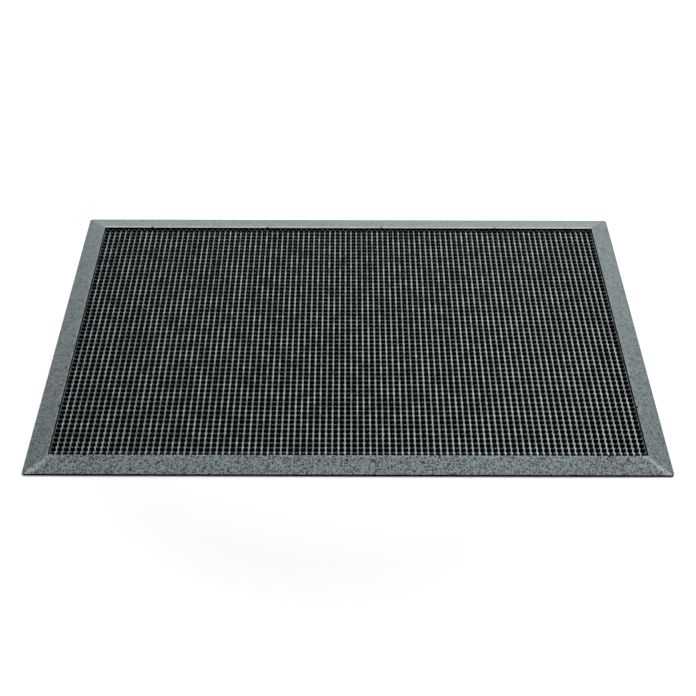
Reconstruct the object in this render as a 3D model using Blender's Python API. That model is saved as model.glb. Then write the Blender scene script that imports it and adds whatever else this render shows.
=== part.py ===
"""Rubber pin door mat: a flat web, a square field of scraper pins on it, and a ramped border.

Metres, +Z up. The origin is on the ground under the middle of the mat, +X runs along its length
and -Y is the edge that faces whoever steps onto it.
"""

import math

import bmesh
import bpy
from mathutils import Matrix, Vector

# Overall size
MAT_LENGTH = 0.600
MAT_DEPTH = 0.390
CORNER_RADIUS = 0.003

# Ramped border: it climbs from a thin lip to a level rim, and drops square to the pin field
BORDER_WIDTH = 0.0208
LIP_HEIGHT = 0.0019
RIM_HEIGHT = 0.0056
RIM_WIDTH = 0.0018
LIP_ROUND = 0.0003
RIM_ROUND = 0.0005
BORDER_LAP = 0.008

# Web and scraper pins
WEB_THICKNESS = 0.002
PIN_PITCH = 0.006
PIN_DIAMETER = 0.0048
PIN_HEIGHT = 0.0032
PIN_WALL_CLEARANCE = 0.0007

# Room left between pieces that are bonded face to face
BOND_GAP = 0.0003

ROUND_STEPS = 3
CORNER_STEPS = 8

BORDER_GREY = (0.12, 0.13, 0.135, 1.0)
WEB_GREY = (0.09, 0.1, 0.1, 1.0)
PIN_BLACK = (0.012, 0.012, 0.013, 1.0)


def clear_scene():
    for old in list(bpy.data.objects):
        bpy.data.objects.remove(old, do_unlink=True)


def new_collection(name):
    collection = bpy.data.collections.new(name)
    bpy.context.scene.collection.children.link(collection)
    return collection


def rubber(name, colour, roughness):
    material = bpy.data.materials.new(name)
    material.use_nodes = True
    shader = material.node_tree.nodes["Principled BSDF"]
    shader.inputs["Base Color"].default_value = colour
    shader.inputs["Roughness"].default_value = roughness
    shader.inputs["Metallic"].default_value = 0.0
    return material


def add_object(name, shape, collection):
    """Turns a bmesh into a named object, and frees the bmesh."""
    mesh = bpy.data.meshes.new(name)
    bmesh.ops.recalc_face_normals(shape, faces=shape.faces)
    shape.to_mesh(mesh)
    shape.free()
    added = bpy.data.objects.new(name, mesh)
    collection.objects.link(added)
    return added


def slab(length, depth, bottom, top, corner_radius=0.0):
    """A flat slab centred on the Z axis, with its upright edges rounded if a radius is given."""
    shape = bmesh.new()
    bmesh.ops.create_cube(shape, size=1.0)
    bmesh.ops.scale(shape, vec=(length, depth, top - bottom), verts=shape.verts)
    bmesh.ops.translate(shape, vec=(0, 0, (top + bottom) / 2), verts=shape.verts)
    if corner_radius:
        upright = [e for e in shape.edges if abs(e.verts[0].co.z - e.verts[1].co.z) > 0]
        bmesh.ops.bevel(shape, geom=upright, offset=corner_radius, segments=CORNER_STEPS,
                        profile=0.5, affect="EDGES", material=-1)
    return shape


def pins_across(room):
    """How many pins stand side by side in the room between two border walls."""
    free = room - 2 * PIN_WALL_CLEARANCE - PIN_DIAMETER
    return 1 + math.floor(free / PIN_PITCH)


def border_section():
    """The border's outline seen along its run: x inwards from the outer edge, y up."""
    lap_start = BORDER_WIDTH - BORDER_LAP
    lap_height = WEB_THICKNESS + BOND_GAP
    return [
        (0, 0),
        (lap_start, 0),
        (lap_start, lap_height),
        (BORDER_WIDTH, lap_height),
        (BORDER_WIDTH, RIM_HEIGHT),
        (BORDER_WIDTH - RIM_WIDTH, RIM_HEIGHT),
        (0, LIP_HEIGHT),
    ]


def extruded_outline(points, length):
    """A 2D outline pulled to a closed bar along X, with the outline's x along Y and its y up."""
    curve = bpy.data.curves.new("outline", "CURVE")
    curve.dimensions = "2D"
    curve.fill_mode = "BOTH"
    curve.extrude = length / 2
    spline = curve.splines.new("POLY")
    spline.points.add(len(points) - 1)
    for point, (x, y) in zip(spline.points, points):
        point.co = (x, y, 0, 1)
    spline.use_cyclic_u = True

    guide = bpy.data.objects.new("outline", curve)
    bpy.context.scene.collection.objects.link(guide)
    depsgraph = bpy.context.evaluated_depsgraph_get()
    mesh = bpy.data.meshes.new_from_object(guide.evaluated_get(depsgraph))
    shape = bmesh.new()
    shape.from_mesh(mesh)
    bmesh.ops.remove_doubles(shape, verts=shape.verts, dist=0.00001)
    bmesh.ops.dissolve_limit(shape, angle_limit=math.radians(1), verts=shape.verts, edges=shape.edges)
    along_x = Matrix(((0, 0, 1, 0), (1, 0, 0, 0), (0, 1, 0, 0), (0, 0, 0, 1)))
    bmesh.ops.transform(shape, matrix=along_x, verts=shape.verts)
    bpy.data.objects.remove(guide, do_unlink=True)
    bpy.data.meshes.remove(mesh)
    return shape


def round_long_edge(shape, y, z, radius):
    """Rounds the edge that runs the length of the bar at this place in its section."""
    def on_edge(vertex):
        return math.hypot(vertex.co.y - y, vertex.co.z - z) < BOND_GAP / 10

    long_edge = [e for e in shape.edges if all(on_edge(v) for v in e.verts)]
    bmesh.ops.bevel(shape, geom=long_edge, offset=radius, segments=ROUND_STEPS,
                    profile=0.5, affect="EDGES", material=-1)


def mitre_end(shape, side, corner):
    """Cuts the bar's end square to the line that halves the mat's corner, half a gap short of it."""
    normal = Vector((side, 1, 0)).normalized()
    short_of_corner = corner - normal * BOND_GAP / 2
    everything = shape.verts[:] + shape.edges[:] + shape.faces[:]
    bmesh.ops.bisect_plane(shape, geom=everything, plane_co=short_of_corner, plane_no=normal,
                           clear_outer=True)
    rim = [e for e in shape.edges if e.is_boundary]
    bmesh.ops.holes_fill(shape, edges=rim, sides=0)


def border_strip(name, run, turn, reach, outline, collection):
    """One mitred border strip, modelled as the -Y edge of a mat and turned to its own side."""
    shape = extruded_outline(border_section(), run)
    round_long_edge(shape, 0, LIP_HEIGHT, LIP_ROUND)
    round_long_edge(shape, BORDER_WIDTH, RIM_HEIGHT, RIM_ROUND)
    for side in (-1, 1):
        mitre_end(shape, side, Vector((side * run / 2, 0, 0)))
    strip = add_object(name, shape, collection)
    strip.rotation_euler = (0, 0, turn)
    strip.location = Matrix.Rotation(turn, 3, "Z") @ Vector((0, -reach, 0))
    trim = strip.modifiers.new("round_outer_corners", "BOOLEAN")
    trim.operation = "INTERSECT"
    trim.solver = "EXACT"
    trim.object = outline
    return strip


def build_border(outline, collection):
    quarter = math.pi / 2
    sides = [
        ("border_front", MAT_LENGTH, 0, MAT_DEPTH / 2),
        ("border_right", MAT_DEPTH, quarter, MAT_LENGTH / 2),
        ("border_back", MAT_LENGTH, 2 * quarter, MAT_DEPTH / 2),
        ("border_left", MAT_DEPTH, 3 * quarter, MAT_LENGTH / 2),
    ]
    strips = []
    for name, run, turn, reach in sides:
        strip = border_strip(name, run, turn, reach, outline, collection)
        strip.data.materials.append(rubber(name + "_rubber", BORDER_GREY, 0.55))
        strips.append(strip)
    return strips


def build_web(collection):
    hidden = BORDER_WIDTH - BORDER_LAP + BOND_GAP
    shape = slab(MAT_LENGTH - 2 * hidden, MAT_DEPTH - 2 * hidden, 0, WEB_THICKNESS)
    web = add_object("base_web", shape, collection)
    web.data.materials.append(rubber("base_web_rubber", WEB_GREY, 0.5))
    return web


def build_pin_field(collection):
    """The room that the pins take up, from the foot of the outer pins to the height of the tips."""
    columns = pins_across(MAT_LENGTH - 2 * BORDER_WIDTH)
    rows = pins_across(MAT_DEPTH - 2 * BORDER_WIDTH)
    length = (columns - 1) * PIN_PITCH + PIN_DIAMETER
    depth = (rows - 1) * PIN_PITCH + PIN_DIAMETER
    shape = slab(length, depth, WEB_THICKNESS + BOND_GAP, WEB_THICKNESS + PIN_HEIGHT,
                 PIN_DIAMETER / 2)
    field = add_object("pin_field", shape, collection)
    field.data.materials.append(rubber("pin_field_rubber", PIN_BLACK, 0.6))
    return field


def build_mat():
    clear_scene()
    parts = new_collection("door_mat")
    cutters = new_collection("cutters")

    over = RIM_HEIGHT
    outline_shape = slab(MAT_LENGTH, MAT_DEPTH, -over, RIM_HEIGHT + over, CORNER_RADIUS)
    outline = add_object("plan_outline", outline_shape, cutters)
    outline.hide_render = True
    outline.display_type = "WIRE"

    mat = bpy.data.objects.new("door_mat", None)
    parts.objects.link(mat)
    for piece in [*build_border(outline, parts), build_web(parts), build_pin_field(parts)]:
        piece.parent = mat


build_mat()
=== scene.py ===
import math

import bmesh
import bpy
import numpy as np
from mathutils import Matrix, Vector, noise


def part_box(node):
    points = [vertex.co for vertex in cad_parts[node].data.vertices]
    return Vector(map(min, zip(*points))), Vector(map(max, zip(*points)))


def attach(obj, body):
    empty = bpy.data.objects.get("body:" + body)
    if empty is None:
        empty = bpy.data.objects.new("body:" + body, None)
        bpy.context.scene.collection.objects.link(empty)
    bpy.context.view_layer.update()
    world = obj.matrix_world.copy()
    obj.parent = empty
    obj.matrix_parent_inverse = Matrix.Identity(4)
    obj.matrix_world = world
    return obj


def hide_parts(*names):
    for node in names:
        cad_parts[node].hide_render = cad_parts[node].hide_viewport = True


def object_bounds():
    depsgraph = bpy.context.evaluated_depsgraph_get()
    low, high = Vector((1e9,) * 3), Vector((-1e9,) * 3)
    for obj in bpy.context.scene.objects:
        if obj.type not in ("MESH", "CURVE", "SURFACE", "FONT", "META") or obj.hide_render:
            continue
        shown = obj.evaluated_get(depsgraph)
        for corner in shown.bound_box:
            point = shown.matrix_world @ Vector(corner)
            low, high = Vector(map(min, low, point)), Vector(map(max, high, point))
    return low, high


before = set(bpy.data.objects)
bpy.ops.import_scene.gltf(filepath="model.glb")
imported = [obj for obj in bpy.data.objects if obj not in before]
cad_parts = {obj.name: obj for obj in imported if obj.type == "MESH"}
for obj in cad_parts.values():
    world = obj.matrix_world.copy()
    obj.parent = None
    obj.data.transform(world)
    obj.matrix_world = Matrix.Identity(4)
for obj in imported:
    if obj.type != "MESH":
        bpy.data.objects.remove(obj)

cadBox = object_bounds()
mm = 0.001  # sizes below are written in millimetres

# sizes that the frame already holds
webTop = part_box("base_web")[1][2]
fieldLow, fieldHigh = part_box("pin_field")
frontLow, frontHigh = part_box("border_front")
matLength = cadBox[1][0] - cadBox[0][0]
matDepth = cadBox[1][1] - cadBox[0][1]
borderWidth = frontHigh[1] - frontLow[1]
rimHeight = frontHigh[2]
tipHeight = fieldHigh[2]


def linearColour(hexText):
    parts = [int(hexText[i:i + 2], 16) / 255 for i in (1, 3, 5)]
    return tuple(p / 12.92 if p <= 0.04045 else ((p + 0.055) / 1.055) ** 2.4 for p in parts) + (1.0,)


def addNode(tree, kind, inputs=None, **settings):
    node = tree.nodes.new(kind)
    for key, value in settings.items():
        setattr(node, key, value)
    for socket, value in (inputs or {}).items():
        if isinstance(value, bpy.types.NodeSocket):
            tree.links.new(value, node.inputs[socket])
        else:
            node.inputs[socket].default_value = value
    return node


def perMetre(millimetres):
    return 1 / (millimetres * mm)


def newMaterial(name):
    material = bpy.data.materials.new(name)
    material.use_nodes = True
    material.node_tree.nodes.clear()
    return material, material.node_tree


def addPiece(name, shape, material, node=None):
    mesh = bpy.data.meshes.new(name)
    shape.to_mesh(mesh)
    shape.free()
    mesh.materials.append(material)
    piece = bpy.data.objects.new(name, mesh)
    bpy.context.scene.collection.objects.link(piece)
    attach(piece, "root")
    if node:
        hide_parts(node)
    return piece


borderFinish = {
    "colour": "#6F777A",       # the grey bloom on the grains
    "mottle": "#60696D",       # the duller clouds in it
    "backPaintedSheen": "#747D7E",   # painted sheen: the back strip paler, where it faces the lamps behind
    "frontPaintedLight": "#767E83",  # painted light: the front strip paler, as if a lamp lit it from the front
    "frontBlend": (-1.0, 1.5),  # mm past the mitre, where the front strip's finish starts and is full
    "backBlend": (-0.5, 0.5),  # and the back strip's
    "paintedShadeColour": "#070809",    # painted shade between the grains
    # painted shade in the pits
    "pitShadeColour": "#020202",
    "rimHighlightColour": "#959D9E",    # painted highlight along the level top of the back rim
    "rimHighlightFrom": 0.4,         # mm below the top of the rim, where the painted highlight starts
    "rimHighlightTo": 0.05,          # mm below the top, where it is full
    "flashHighlightColour": "#ABB2B2",  # painted highlight beside the front mitres, next to the weld bead
    "flashWidth": 4.0,         # mm
    "flashCore": 0.3,          # mm to each side of its middle, where it is full
    "flashFromMitre": 3.0,     # mm
    "flashAtRim": 0.3,          # how much of the painted highlight is left at the rim
    "flashFullTo": 0.25,       # share of the border's width from the lip, where it is full
    "flashDull": 0.35,         # and over the duller clouds
    "seamWidth": 0.7,          # mm, hairline on the back mitres, a painted highlight on the left and the painted shade of the open seam on the right
    "seamStrength": 0.4,
    "tint": "#EDFFFD",
    "roughness": 0.5,
    "roughnessSpread": 0.06,
    "specular": 0.3,
    "sheen": 0.1,
    "sheenRoughness": 0.4,
    "grain": 1.45,             # mm across one grain, twice the real one, which would not show
    "grainContrast": 2.2,      # higher leaves fewer of the grains in painted shade
    "grainDepth": 0.15,        # mm
    "cloud": 5.0,              # mm across one cloud
    "cloudEdge": (0.35, 0.62),
    "pitSpacing": 2.9,         # mm
    "pitWidth": 1.8,           # mm
    "pitted": (0.3, 0.5),      # places below the first get no pit, above the second a full one
    "sideStrength": 0.8,       # grain and pits on the side borders in front, as a share of the front one
    "backStrength": 0.4,       # and at the back
}
mitreSlant = 1.4  # fromMitre grows by this much for each unit square to the mitre


def fromMitre(tree, apart, end="front"):
    # metres, above 0 on that end's border and below 0 on the side ones
    sign = 1 if end == "front" else -1
    far = addNode(tree, "ShaderNodeMath", {0: apart.outputs["X"]}, operation="ABSOLUTE")
    side = addNode(tree, "ShaderNodeMath", {0: matLength / 2, 1: far.outputs[0]},
                   operation="SUBTRACT")
    fromEnd = addNode(tree, "ShaderNodeMath", {0: apart.outputs["Y"], 1: sign, 2: matDepth / 2},
                      operation="MULTIPLY_ADD")
    return addNode(tree, "ShaderNodeMath", {0: side.outputs[0], 1: fromEnd.outputs[0]},
                   operation="SUBTRACT")


def flashMask(tree, apart, pastMitre):
    # 1 along a line on the front border a little way in from each mitre, 0 away from it: where the
    # painted highlight goes
    f = borderFinish
    off = addNode(tree, "ShaderNodeMath",
                  {0: pastMitre.outputs[0], 1: mitreSlant * f["flashFromMitre"] * mm},
                  operation="SUBTRACT")
    off = addNode(tree, "ShaderNodeMath", {0: off.outputs[0]}, operation="ABSOLUTE")
    band = addNode(tree, "ShaderNodeMapRange",
                   {"Value": off.outputs[0], "From Min": mitreSlant * f["flashWidth"] * mm,
                    "From Max": f["flashCore"] * mm},
                   interpolation_type="SMOOTHSTEP")
    low = addNode(tree, "ShaderNodeMapRange",
                  {"Value": apart.outputs["Y"], "From Min": borderWidth - matDepth / 2,
                   "From Max": f["flashFullTo"] * borderWidth - matDepth / 2,
                   "To Min": f["flashAtRim"]})
    return addNode(tree, "ShaderNodeMath", {0: band.outputs[0], 1: low.outputs[0]},
                   operation="MULTIPLY")


def seamMask(tree, pastBackMitre):
    # 1 on the two back mitre lines
    off = addNode(tree, "ShaderNodeMath", {0: pastBackMitre.outputs[0]}, operation="ABSOLUTE")
    reach = mitreSlant * borderFinish["seamWidth"] * mm
    return addNode(tree, "ShaderNodeMapRange",
                   {"Value": off.outputs[0], "From Min": reach, "From Max": reach / 3})


def borderRubber():
    # carbon filled rubber pressed in a blasted steel mould: the eye gets a dull grey bloom, a sandy
    # grain and small pits, strongest in front; the hollows and pits are painted shade, and painted light
    # pales the front, back, back rim and mitres
    f = borderFinish
    material, tree = newMaterial("carbonFilledRubberBlastedMould")
    place = addNode(tree, "ShaderNodeTexCoord").outputs["Object"]
    apart = addNode(tree, "ShaderNodeSeparateXYZ", {"Vector": place})
    alongSides = addNode(tree, "ShaderNodeMapRange",
                         {"Value": apart.outputs["Y"], "From Min": matDepth / 2,
                          "From Max": -matDepth / 2, "To Min": f["backStrength"],
                          "To Max": f["sideStrength"]})
    pastMitre = fromMitre(tree, apart)
    onFront = addNode(tree, "ShaderNodeMapRange",
                      {"Value": pastMitre.outputs[0], "From Min": f["frontBlend"][0] * mm,
                       "From Max": f["frontBlend"][1] * mm})
    extra = addNode(tree, "ShaderNodeMath", {0: onFront.outputs[0], 1: 1 - f["sideStrength"]},
                    operation="MULTIPLY")
    strength = addNode(tree, "ShaderNodeMath", {0: alongSides.outputs[0], 1: extra.outputs[0]},
                       operation="ADD")
    grain = addNode(tree, "ShaderNodeTexVoronoi",
                    {"Vector": place, "Scale": perMetre(f["grain"]), "Randomness": 1.0})
    ofGrain = addNode(tree, "ShaderNodeSeparateColor", {"Color": grain.outputs["Color"]})
    cloud = addNode(tree, "ShaderNodeTexNoise",
                    {"Vector": place, "Scale": perMetre(f["cloud"]), "Detail": 3.0, "Roughness": 0.6})
    pits = addNode(tree, "ShaderNodeTexVoronoi",
                   {"Vector": place, "Scale": perMetre(f["pitSpacing"]), "Randomness": 1.0},
                   voronoi_dimensions="2D")
    pitRadius = 0.5 * f["pitWidth"] / f["pitSpacing"]  # as the pattern counts it
    depthOfPit = addNode(tree, "ShaderNodeMapRange",
                         {"Value": pits.outputs["Distance"], "From Min": pitRadius,
                          "From Max": pitRadius / 2})
    ofPit = addNode(tree, "ShaderNodeSeparateColor", {"Color": pits.outputs["Color"]})
    chosen = addNode(tree, "ShaderNodeMapRange",
                     {"Value": ofPit.outputs[0], "From Min": f["pitted"][0], "From Max": f["pitted"][1]})
    pitted = addNode(tree, "ShaderNodeMath", {0: depthOfPit.outputs[0], 1: chosen.outputs[0]},
                     operation="MULTIPLY")
    pitted = addNode(tree, "ShaderNodeMath", {0: pitted.outputs[0], 1: strength.outputs[0]},
                     operation="MULTIPLY")
    clouded = addNode(tree, "ShaderNodeMapRange",
                      {"Value": cloud.outputs["Fac"], "From Min": f["cloudEdge"][0],
                       "From Max": f["cloudEdge"][1]})
    base = addNode(tree, "ShaderNodeMix",
                   {"Factor": clouded.outputs[0], 6: linearColour(f["mottle"]),
                    7: linearColour(f["colour"])}, data_type="RGBA")
    # painted light: the front strip is paler
    base = addNode(tree, "ShaderNodeMix",
                   {"Factor": onFront.outputs[0], 6: base.outputs[2], 7: linearColour(f["frontPaintedLight"])},
                   data_type="RGBA")
    pastBackMitre = fromMitre(tree, apart, "back")
    onBack = addNode(tree, "ShaderNodeMapRange",
                     {"Value": pastBackMitre.outputs[0], "From Min": f["backBlend"][0] * mm,
                      "From Max": f["backBlend"][1] * mm})
    # painted sheen on the back strip
    base = addNode(tree, "ShaderNodeMix",
                   {"Factor": onBack.outputs[0], 6: base.outputs[2], 7: linearColour(f["backPaintedSheen"])},
                   data_type="RGBA")
    # painted highlight on the back rim's level top
    rimHighlight = addNode(tree, "ShaderNodeMapRange",
                     {"Value": apart.outputs["Z"], "From Min": rimHeight - f["rimHighlightFrom"] * mm,
                      "From Max": rimHeight - f["rimHighlightTo"] * mm})
    rimHighlight = addNode(tree, "ShaderNodeMath", {0: rimHighlight.outputs[0], 1: onBack.outputs[0]},
                     operation="MULTIPLY")
    withRim = addNode(tree, "ShaderNodeMix",
                      {"Factor": rimHighlight.outputs[0], 6: base.outputs[2], 7: linearColour(f["rimHighlightColour"])},
                      data_type="RGBA")
    # painted highlight beside the front mitres, broken up over the duller clouds
    flashHighlight = flashMask(tree, apart, pastMitre)
    streaks = addNode(tree, "ShaderNodeMapRange",
                      {"Value": clouded.outputs[0], "To Min": f["flashDull"]})
    flash = addNode(tree, "ShaderNodeMath", {0: flashHighlight.outputs[0], 1: streaks.outputs[0]},
                    operation="MULTIPLY")
    withFlash = addNode(tree, "ShaderNodeMix",
                        {"Factor": flash.outputs[0], 6: withRim.outputs[2],
                         7: linearColour(f["flashHighlightColour"])}, data_type="RGBA")
    # back mitre seam: painted highlight on the left, painted shade on the right
    onRight = addNode(tree, "ShaderNodeMath", {0: apart.outputs["X"], 1: 0.0},
                      operation="GREATER_THAN")
    seamPaintedLight = addNode(tree, "ShaderNodeMix",
                         {"Factor": onRight.outputs[0], 6: linearColour(f["flashHighlightColour"]),
                          7: linearColour(f["paintedShadeColour"])}, data_type="RGBA")
    onSeam = seamMask(tree, pastBackMitre)
    seam = addNode(tree, "ShaderNodeMath", {0: onSeam.outputs[0], 1: f["seamStrength"]},
                   operation="MULTIPLY")
    withSeam = addNode(tree, "ShaderNodeMix",
                       {"Factor": seam.outputs[0], 6: withFlash.outputs[2], 7: seamPaintedLight.outputs[2]},
                       data_type="RGBA")
    # painted shade in the hollows between the grains; the same pattern sinks them in the bump
    grainHollowAndShade = addNode(tree, "ShaderNodeMath", {0: ofGrain.outputs[0], 1: f["grainContrast"]},
                     operation="POWER")
    # no painted grain shade under the painted highlight
    offFlashHighlight = addNode(tree, "ShaderNodeMath", {0: 1.0, 1: flashHighlight.outputs[0]}, operation="SUBTRACT")
    grainHollowAndShade = addNode(tree, "ShaderNodeMath", {0: grainHollowAndShade.outputs[0], 1: offFlashHighlight.outputs[0]},
                     operation="MULTIPLY")
    grainHollowAndShade = addNode(tree, "ShaderNodeMath", {0: grainHollowAndShade.outputs[0], 1: strength.outputs[0]},
                     operation="MULTIPLY")
    grained = addNode(tree, "ShaderNodeMix",
                      {"Factor": grainHollowAndShade.outputs[0], 6: withSeam.outputs[2],
                       7: linearColour(f["paintedShadeColour"])}, data_type="RGBA")
    # the pits are painted in shade as well as sunk in the bump
    colour = addNode(tree, "ShaderNodeMix",
                     {"Factor": pitted.outputs[0], 6: grained.outputs[2],
                      7: linearColour(f["pitShadeColour"])}, data_type="RGBA")
    sunk = addNode(tree, "ShaderNodeMath", {0: pitted.outputs[0], 1: grainHollowAndShade.outputs[0]}, operation="ADD")
    bump = addNode(tree, "ShaderNodeBump",
                   {"Height": sunk.outputs[0], "Strength": 1.0, "Distance": f["grainDepth"] * mm},
                   invert=True)
    gloss = addNode(tree, "ShaderNodeMapRange",
                    {"Value": cloud.outputs["Fac"], "To Min": f["roughness"] - f["roughnessSpread"],
                     "To Max": f["roughness"] + f["roughnessSpread"]})
    shader = addNode(tree, "ShaderNodeBsdfPrincipled",
                     {"Base Color": colour.outputs[2], "Roughness": gloss.outputs[0],
                      "Specular IOR Level": f["specular"], "Specular Tint": linearColour(f["tint"]),
                      "Sheen Weight": f["sheen"], "Sheen Roughness": f["sheenRoughness"],
                      "Normal": bump.outputs["Normal"]})
    addNode(tree, "ShaderNodeOutputMaterial", {"Surface": shader.outputs["BSDF"]})
    return material


blackFinish = {
    "colour": "#010101",
    "dusty": "#060707",
    "cloud": 2.5,   # mm
    # painted shade on the border's steep walls and lip
    "shadedEdge": {"roughness": 0.8, "specular": 0.05},
    "ventNibs": {"roughness": 0.5, "specular": 0.1},
}


def plainBlackRubber(name, roughness, specular):
    # black, dull, faintly uneven rubber: painted shade on the border's steep walls and lip, and the vent
    # nibs' own rubber, torn from its runner
    material, tree = newMaterial(name)
    place = addNode(tree, "ShaderNodeTexCoord").outputs["Object"]
    uneven = addNode(tree, "ShaderNodeTexNoise",
                     {"Vector": place, "Scale": perMetre(blackFinish["cloud"]), "Detail": 2.0})
    colour = addNode(tree, "ShaderNodeMix",
                     {"Factor": uneven.outputs["Fac"], 6: linearColour(blackFinish["colour"]),
                      7: linearColour(blackFinish["dusty"])}, data_type="RGBA")
    shader = addNode(tree, "ShaderNodeBsdfPrincipled",
                     {"Base Color": colour.outputs[2], "Roughness": roughness,
                      "Specular IOR Level": specular})
    addNode(tree, "ShaderNodeOutputMaterial", {"Surface": shader.outputs["BSDF"]})
    return material


webFinish = {
    "colour": "#3E4344",
    "film": "#848B8C",        # dried mould release, in patches
    "filmEdge": (0.35, 0.65),
    "cloud": 14.0,            # mm across one patch
    "tint": "#F6FFFF",
    "roughness": 0.45,
    "roughnessSpread": 0.05,
    "specular": 0.6,
    "grain": 0.8,             # mm
    "grainDepth": 0.02,       # mm
}


def webRubber():
    # the same rubber off a polished plate: the eye gets a smoother floor than the border, streaked
    # grey where mould release dried on it
    f = webFinish
    material, tree = newMaterial("carbonFilledRubberPolishedMould")
    place = addNode(tree, "ShaderNodeTexCoord").outputs["Object"]
    cloud = addNode(tree, "ShaderNodeTexNoise",
                    {"Vector": place, "Scale": perMetre(f["cloud"]), "Detail": 2.0})
    grain = addNode(tree, "ShaderNodeTexNoise",
                    {"Vector": place, "Scale": perMetre(f["grain"]), "Detail": 1.0})
    film = addNode(tree, "ShaderNodeMapRange",
                   {"Value": cloud.outputs["Fac"], "From Min": f["filmEdge"][0],
                    "From Max": f["filmEdge"][1]})
    colour = addNode(tree, "ShaderNodeMix",
                     {"Factor": film.outputs[0], 6: linearColour(f["colour"]),
                      7: linearColour(f["film"])}, data_type="RGBA")
    gloss = addNode(tree, "ShaderNodeMapRange",
                    {"Value": cloud.outputs["Fac"], "To Min": f["roughness"] - f["roughnessSpread"],
                     "To Max": f["roughness"] + f["roughnessSpread"]})
    bump = addNode(tree, "ShaderNodeBump",
                   {"Height": grain.outputs["Fac"], "Strength": 1.0, "Distance": f["grainDepth"] * mm})
    shader = addNode(tree, "ShaderNodeBsdfPrincipled",
                     {"Base Color": colour.outputs[2], "Roughness": gloss.outputs[0],
                      "Specular IOR Level": f["specular"], "Specular Tint": linearColour(f["tint"]),
                      "Normal": bump.outputs["Normal"]})
    addNode(tree, "ShaderNodeOutputMaterial", {"Surface": shader.outputs["BSDF"]})
    return material


pinFinish = {
    "colour": "#040505",
    "tipHighlightColour": "#3C4242",   # painted highlight on the tips
    "tipHighlightPaler": "#959C9C",    # paler on some of them than on others
    "tipDepth": 0.11,         # mm below the top, where the painted highlight starts
    "tipFull": 0.4,           # share of that depth, above which it is full
    "roughness": 0.35,
    "specular": 0.05,
}


def pinRubber():
    # black rubber that tore clean out of deep bores: the eye gets dark flanks and a painted highlight,
    # a grey spot on each tip, paler on some pins than on others
    f = pinFinish
    material, tree = newMaterial("blackRubberPinsPaintedTipHighlights")
    place = addNode(tree, "ShaderNodeTexCoord").outputs["Object"]
    apart = addNode(tree, "ShaderNodeSeparateXYZ", {"Vector": place})
    pitch = pinShape["pitch"] * mm
    shifted = addNode(tree, "ShaderNodeVectorMath", {0: place, 1: (pitch / 2, 0, 0)})
    ownCell = addNode(tree, "ShaderNodeVectorMath", {0: shifted.outputs[0], 1: (pitch, pitch, 1.0)},
                      operation="SNAP")
    fate = addNode(tree, "ShaderNodeTexWhiteNoise", {"Vector": ownCell.outputs[0]})
    # painted highlight on each tip, paler on some pins
    tipHighlight = addNode(tree, "ShaderNodeMix",
                      {"Factor": fate.outputs["Value"], 6: linearColour(f["tipHighlightColour"]),
                       7: linearColour(f["tipHighlightPaler"])}, data_type="RGBA")
    up = addNode(tree, "ShaderNodeMapRange",
                 {"Value": apart.outputs["Z"], "From Min": tipHeight - f["tipDepth"] * mm,
                  "From Max": tipHeight - f["tipFull"] * f["tipDepth"] * mm})
    colour = addNode(tree, "ShaderNodeMix",
                     {"Factor": up.outputs[0], 6: linearColour(f["colour"]), 7: tipHighlight.outputs[2]},
                     data_type="RGBA")
    shader = addNode(tree, "ShaderNodeBsdfPrincipled",
                     {"Base Color": colour.outputs[2], "Roughness": f["roughness"],
                      "Specular IOR Level": f["specular"]})
    addNode(tree, "ShaderNodeOutputMaterial", {"Surface": shader.outputs["BSDF"]})
    return material


pinShape = {
    "pitch": 6.0,        # mm, both ways
    "footRadius": 2.7,   # mm, where the pin leaves the web
    "tip": [(2.6, 0.3), (2.33, 1.6), (1.6, 2.6), (0.6, 3.1)],  # mm, radius and height above the web
    "sides": 10,
    "sunk": 0.2,         # mm that a pin's foot goes into the web
    "blocks": 4,         # the field is split by rows, so that no piece gets too heavy
    "lean": 0.02,        # how far a tip strays, as a share of the height
    "seed": 7,
}


def turnedShape(profile, sides):
    shape = bmesh.new()
    verts = [shape.verts.new((radius * mm, 0, height * mm)) for radius, height in profile]
    edges = [shape.edges.new(pair) for pair in zip(verts, verts[1:])]
    bmesh.ops.spin(shape, geom=verts + edges, axis=(0, 0, 1), cent=(0, 0, 0),
                   angle=2 * math.pi, steps=sides, use_merge=True)
    bmesh.ops.remove_doubles(shape, verts=shape.verts, dist=0.001 * mm)
    bmesh.ops.holes_fill(shape, edges=[e for e in shape.edges if e.is_boundary], sides=0)
    bmesh.ops.recalc_face_normals(shape, faces=shape.faces)
    return shape


def pinMesh():
    p = pinShape
    ground = webTop / mm
    profile = [(p["footRadius"], ground - p["sunk"])]
    profile += [(radius, ground + height) for radius, height in p["tip"]]
    profile.append((0, tipHeight / mm))
    shape = turnedShape(profile, p["sides"])
    mesh = bpy.data.meshes.new("pin")
    shape.to_mesh(mesh)
    shape.free()
    return mesh


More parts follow.
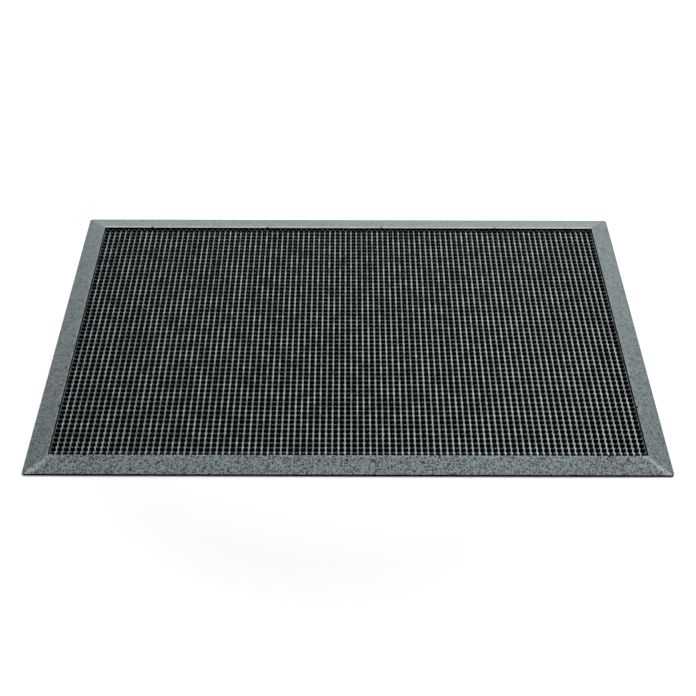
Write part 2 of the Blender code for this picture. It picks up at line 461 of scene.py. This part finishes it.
def addPins(material):
    p = pinShape
    pitch = p["pitch"] * mm
    columns = round((fieldHigh[0] - fieldLow[0]) / pitch)
    rows = round((fieldHigh[1] - fieldLow[1]) / pitch)
    one = pinMesh()
    rng = np.random.default_rng(p["seed"])
    perPin = len(one.vertices)
    base = np.empty(perPin * 3)
    one.vertices.foreach_get("co", base)
    base = base.reshape(-1, 3)
    firstRow = 0
    for block in range(p["blocks"]):
        lastRow = round(rows * (block + 1) / p["blocks"])
        count = (lastRow - firstRow) * columns
        shape = bmesh.new()
        for _ in range(count):
            shape.from_mesh(one)
        piece = addPiece(f"pins_{block + 1}", shape, material, "pin_field")
        row, column = np.divmod(np.arange(count), columns)
        x = (column - (columns - 1) / 2) * pitch
        y = (row + firstRow - (rows - 1) / 2) * pitch
        lean = rng.normal(0, p["lean"], (count, 2))
        at = np.broadcast_to(base, (count, perPin, 3)).copy()
        up = at[:, :, 2] - webTop
        at[:, :, 0] += x[:, None] + lean[:, :1] * up
        at[:, :, 1] += y[:, None] + lean[:, 1:] * up
        piece.data.vertices.foreach_set("co", at.reshape(-1))
        piece.data.update()
        piece.data.shade_smooth()
        firstRow = lastRow
    bpy.data.meshes.remove(one)
    print("pins:", columns, "x", rows)


borderShape = {
    "lipHeight": 1.9,      # mm, thin outer edge
    "lipRound": 0.3,       # mm
    "rimWidth": 1.8,       # mm, level strip along the top
    "rimRound": 0.5,       # mm
    "rimMiddle": 0.65,     # share of the rim's width from its inner edge, one more mesh line
    "lap": 8.0,            # mm that the border lies over the web
    "cornerRadius": 3.0,   # mm
    "station": 1.2,        # mm, one mesh step along the strip
    "slopeSteps": 22,
    "wave": 0.035,         # mm, how uneven the moulded slope is
    "waveLength": 11.0,    # mm
    "waveRoughness": 0.9,
    "waveSeed": 31.0,      # apart enough for each strip to get its own waves
    "fullFrom": 0.6,       # mm above the lip, where waves, beads and seams reach their full height
    "beadHeight": {"front": 0.2, "back": 0.0},    # mm, raised weld bead along each mitre
    "beadFromMitre": 1.2,  # mm
    "beadWidth": 2.0,      # mm
    "seamDepth": {"front": 0.0, "back": 0.35},    # mm, open seam line in place of the bead
    "seamWidth": 0.35,     # mm
    "endRows": (0.25, 0.6, 1.0, 1.5, 2.1, 2.8, 3.6),  # mm from the mitre, extra mesh rows for the bead
    "endReach": 6,         # mm from the mitre that those rows may cut
    "steepBelow": 0.6,     # a face that points up or down less than this gets the black rubber, painted shade on the walls
    "sharpAngle": 35,      # degrees
}


def arc(centreX, centreY, radius, fromDegrees, toDegrees, steps):
    turned = [fromDegrees + (toDegrees - fromDegrees) * k / steps for k in range(steps + 1)]
    angles = [math.radians(degrees) for degrees in turned]
    return [(centreX + radius * math.cos(a), centreY + radius * math.sin(a)) for a in angles]


def borderOutline():
    # mm, x inwards from the outer edge and y up
    b = borderShape
    width, rim = borderWidth / mm, rimHeight / mm
    lapStart = width - b["lap"]
    slopeEnd = (width - b["rimWidth"], rim)
    lipArc = arc(b["lipRound"], b["lipHeight"] - b["lipRound"], b["lipRound"], 180, 100, 3)
    start = lipArc[-1]
    slope = [(start[0] + (slopeEnd[0] - start[0]) * k / b["slopeSteps"],
              start[1] + (slopeEnd[1] - start[1]) * k / b["slopeSteps"])
             for k in range(1, b["slopeSteps"] + 1)]
    rimArc = arc(width - b["rimRound"], rim - b["rimRound"], b["rimRound"], 90, 0, 4)
    foot = webTop / mm
    middle = [(width - b["rimWidth"] * b["rimMiddle"], rim)]
    return [(0, 0)] + lipArc + slope + middle + rimArc + [(width, foot), (lapStart, foot), (lapStart, 0)]


def borderStrip(run, leftEnd, rightEnd, seed):
    # one strip in mm, along X with its outer edge at y = 0
    b = borderShape
    half = run / mm / 2
    steps = round(run / mm / b["station"])
    shape = bmesh.new()
    outline = [shape.verts.new((-half, y, z)) for y, z in borderOutline()]
    edges = [shape.edges.new(pair) for pair in zip(outline, outline[1:] + outline[:1])]
    bmesh.ops.spin(shape, geom=outline + edges, axis=(1, 0, 0), cent=(0, 0, 0),
                   dvec=(2 * half / steps, 0, 0), angle=0, steps=steps)
    for side in (-1, 1):
        normal = Vector((side, 1, 0)).normalized()
        corner = Vector((side * half, 0, 0))
        bmesh.ops.bisect_plane(shape, geom=shape.verts[:] + shape.edges[:] + shape.faces[:],
                               plane_co=corner, plane_no=normal, clear_outer=True)
        for inset in b["endRows"]:
            nearEnd = [f for f in shape.faces
                       if (corner - f.calc_center_median()).dot(normal) < b["endReach"]]
            nearEdges = list({e for f in nearEnd for e in f.edges})
            nearVerts = list({v for f in nearEnd for v in f.verts})
            bmesh.ops.bisect_plane(shape, geom=nearEnd + nearEdges + nearVerts,
                                   plane_co=corner - normal * inset, plane_no=normal)
    bmesh.ops.holes_fill(shape, edges=[e for e in shape.edges if e.is_boundary], sides=0)
    bmesh.ops.recalc_face_normals(shape, faces=shape.faces)
    topOfLip = b["lipHeight"] - b["lipRound"]
    for vertex in shape.verts:
        x, y, z = vertex.co
        toMitre = (half - abs(x) - y) / math.sqrt(2)
        if z > topOfLip + 0.01:
            onSlope = min(1.0, (z - topOfLip) / b["fullFrom"])
            wave = noise.fractal(Vector((x, y, seed)) / b["waveLength"], b["waveRoughness"], 2.0, 3)
            corner = leftEnd if x < 0 else rightEnd
            offBead = (toMitre - b["beadFromMitre"]) / b["beadWidth"]
            bead = b["beadHeight"][corner] * math.exp(-offBead ** 2)
            seam = b["seamDepth"][corner] * math.exp(-(toMitre / b["seamWidth"]) ** 2)
            vertex.co.z += onSlope * (b["wave"] * wave + bead - seam)
        # the square corner of the mat is drawn in to its radius
        pastX = abs(x) - half + b["cornerRadius"]
        pastY = b["cornerRadius"] - y
        if pastX > 0 and pastY > 0:
            scale = pastY / math.hypot(pastX, pastY)
            vertex.co.x = math.copysign(half - b["cornerRadius"] + pastX * scale, x)
            vertex.co.y = b["cornerRadius"] - pastY * scale
    bmesh.ops.scale(shape, vec=(mm, mm, mm), verts=shape.verts)
    return shape


def addBorders(material, shadedEdgeMaterial):
    b = borderShape
    # name, run, turn in degrees, reach from the middle, mitre at the left end, mitre at the right end
    sides = [
        ("front", matLength, 0, matDepth / 2, "front", "front"),
        ("right", matDepth, 90, matLength / 2, "front", "back"),
        ("back", matLength, 180, matDepth / 2, "back", "back"),
        ("left", matDepth, 270, matLength / 2, "back", "front"),
    ]
    for number, (name, run, turn, reach, leftEnd, rightEnd) in enumerate(sides):
        shape = borderStrip(run, leftEnd, rightEnd, b["waveSeed"] * number)
        place = Matrix.Rotation(math.radians(turn), 4, "Z") @ Matrix.Translation((0, -reach, 0))
        bmesh.ops.transform(shape, matrix=place, verts=shape.verts)
        for face in shape.faces:
            # the steep walls and the lip's top get black rubber: painted shade
            onLip = max(v.co.z for v in face.verts) < b["lipHeight"] * mm
            steep = abs(face.normal.z) < b["steepBelow"]
            inPaintedShade = steep or (onLip and face.normal.z > 0)
            face.material_index = 1 if inPaintedShade else 0
        piece = addPiece(f"edge_{name}", shape, material, f"border_{name}")
        piece.data.materials.append(shadedEdgeMaterial)
        piece.data.shade_smooth()
        piece.data.set_sharp_from_angle(angle=math.radians(b["sharpAngle"]))
        print("border", name, len(piece.data.polygons), "faces")


nibShape = {
    # mm, radius and height above the rim
    "profile": [(1.3, -0.3), (1.3, 0.1), (1.1, 0.32), (0.6, 0.45), (0, 0.5)],
    "sides": 14,
    "inFromEdge": 0.6,                  # mm from the rim's inner edge
    "frontAt": (-245, -77, 85, 242.5),  # mm along the mat
    "backAt": (-225, -93, 38, 168),     # the same
    "sidesAt": (-111,),                 # mm across the mat, on both sides
}


def addNibs(material):
    n = nibShape
    acrossAt = matDepth / 2 - borderWidth + n["inFromEdge"] * mm
    alongAt = matLength / 2 - borderWidth + n["inFromEdge"] * mm
    places = [(x * mm, -acrossAt) for x in n["frontAt"]] + [(x * mm, acrossAt) for x in n["backAt"]]
    places += [(side * alongAt, y * mm) for side in (-1, 1) for y in n["sidesAt"]]
    one = turnedShape(n["profile"], n["sides"])
    mesh = bpy.data.meshes.new("nib")
    one.to_mesh(mesh)
    one.free()
    shape = bmesh.new()
    for x, y in places:
        before = len(shape.verts)
        shape.from_mesh(mesh)
        shape.verts.ensure_lookup_table()
        bmesh.ops.translate(shape, vec=(x, y, rimHeight), verts=shape.verts[before:])
    bpy.data.meshes.remove(mesh)
    piece = addPiece("vent_nibs", shape, material)
    piece.data.shade_smooth()
    print("vent nibs:", len(places))


borderMaterial = borderRubber()
pinMaterial = pinRubber()
bpy.data.objects["base_web"].material_slots[0].material = webRubber()
print("web: rubber set")
addBorders(borderMaterial, plainBlackRubber("blackRubberPaintedShadeEdge", **blackFinish["shadedEdge"]))
addNibs(plainBlackRubber("blackRubberVentNibs", **blackFinish["ventNibs"]))
addPins(pinMaterial)

floorFinish = {
    "colour": "#F0F0F0",
    "roughness": 1.0,
    "glow": 0.9,         # light that the table passes on from the lamps below it
    "glowFrom": 0.28,    # metres from the middle, where it starts
    "glowTo": 0.6,       # and where it is full
    "grain": 3.0,        # mm
    "grainDepth": 0.01,  # mm
    "below": 0.05,       # mm that it lies under the mat
    "size": 12.0,        # metres across
}


def addFloor():
    # opal acrylic table lit from below round the mat: the eye gets an even white with a trace of texture
    material, tree = newMaterial("opalAcrylicTableMatt")
    place = addNode(tree, "ShaderNodeTexCoord").outputs["Object"]
    f = floorFinish
    grain = addNode(tree, "ShaderNodeTexNoise",
                    {"Vector": place, "Scale": perMetre(f["grain"]), "Detail": 1.0})
    bump = addNode(tree, "ShaderNodeBump",
                   {"Height": grain.outputs["Fac"], "Distance": f["grainDepth"] * mm})
    away = addNode(tree, "ShaderNodeVectorMath", {0: place}, operation="LENGTH")
    glow = addNode(tree, "ShaderNodeMapRange",
                   {"Value": away.outputs["Value"], "From Min": f["glowFrom"],
                    "From Max": f["glowTo"], "To Max": f["glow"]},
                   interpolation_type="SMOOTHSTEP")
    shader = addNode(tree, "ShaderNodeBsdfPrincipled",
                     {"Base Color": linearColour(f["colour"]),
                      "Roughness": f["roughness"], "Normal": bump.outputs["Normal"],
                      "Emission Color": (1, 1, 1, 1), "Emission Strength": glow.outputs[0]})
    addNode(tree, "ShaderNodeOutputMaterial", {"Surface": shader.outputs["BSDF"]})
    mesh = bpy.data.meshes.new("floor")
    shape = bmesh.new()
    bmesh.ops.create_grid(shape, x_segments=1, y_segments=1, size=f["size"] / 2)
    bmesh.ops.translate(shape, vec=(0, 0, -f["below"] * mm), verts=shape.verts)
    shape.to_mesh(mesh)
    shape.free()
    mesh.materials.append(material)
    floor = bpy.data.objects.new("floor", mesh)
    bpy.context.scene.collection.objects.link(floor)
    print("floor:", f["size"], "m across")


studio = {
    "fill": 0.03,      # how much the dim room around lights the mat
    "backdrop": 0.9,   # how bright the far wall shows
    "distance": 1700,  # mm, from the middle of the mat to each softbox
    "diameter": 850,   # mm
    "softboxes": {     # degrees round from behind the mat, degrees up, watts
        "backLeft": (-20, 32, 4.6),
        "backLeftHigh": (-20, 52, 2.3),
        "backRight": (20, 32, 4.0),
        "backRightHigh": (20, 52, 11.2),
        "leftHigh": (-45, 52, 7.0),
        "rightHigh": (45, 52, 18.5),
        "overhead": (0, 89, 6.0),
    },
}


def addStudio():
    world = bpy.data.worlds.new("studio")
    bpy.context.scene.world = world
    world.use_nodes = True
    tree = world.node_tree
    tree.nodes.clear()
    path = addNode(tree, "ShaderNodeLightPath")
    seen = addNode(tree, "ShaderNodeMapRange",
                   {"Value": path.outputs["Is Camera Ray"], "To Min": studio["fill"],
                    "To Max": studio["backdrop"]})
    room = addNode(tree, "ShaderNodeBackground", {"Color": (1, 1, 1, 1), "Strength": seen.outputs[0]})
    addNode(tree, "ShaderNodeOutputWorld", {"Surface": room.outputs[0]})
    for name, (around, up, watts) in studio["softboxes"].items():
        light = bpy.data.lights.new(name, "AREA")
        light.shape = "DISK"
        light.size = studio["diameter"] * mm
        light.energy = watts
        softbox = bpy.data.objects.new(name, light)
        bpy.context.scene.collection.objects.link(softbox)
        around, up = math.radians(around), math.radians(up)
        level = math.cos(up)
        direction = Vector((level * math.sin(around), level * math.cos(around), math.sin(up)))
        softbox.location = direction * studio["distance"] * mm
        softbox.rotation_euler = (-direction).to_track_quat("-Z", "Y").to_euler()
    print("lights:", len(studio["softboxes"]))


cameraFacts = {
    "pitch": 42.93,   # degrees below level
    "yaw": 0.10,
    "roll": 0.21,
    "place": (-1.8, -895, 812),  # mm
    "lens": 59.95,    # mm
}


def addCamera():
    camera = bpy.data.objects.new("camera", bpy.data.cameras.new("camera"))
    bpy.context.scene.collection.objects.link(camera)
    camera.data.lens = cameraFacts["lens"]
    camera.data.sensor_width = 36
    camera.data.clip_start = 10 * mm
    camera.location = [v * mm for v in cameraFacts["place"]]
    aim = (Matrix.Rotation(-math.radians(cameraFacts["yaw"]), 3, "Z")
           @ Matrix.Rotation(math.radians(90 - cameraFacts["pitch"]), 3, "X")
           @ Matrix.Rotation(math.radians(cameraFacts["roll"]), 3, "Z"))
    camera.rotation_euler = aim.to_euler()
    bpy.context.scene.camera = camera
    print("camera:", cameraFacts["lens"], "mm lens")


addFloor()
addStudio()
addCamera()
bpy.context.scene.view_settings.view_transform = "Standard"
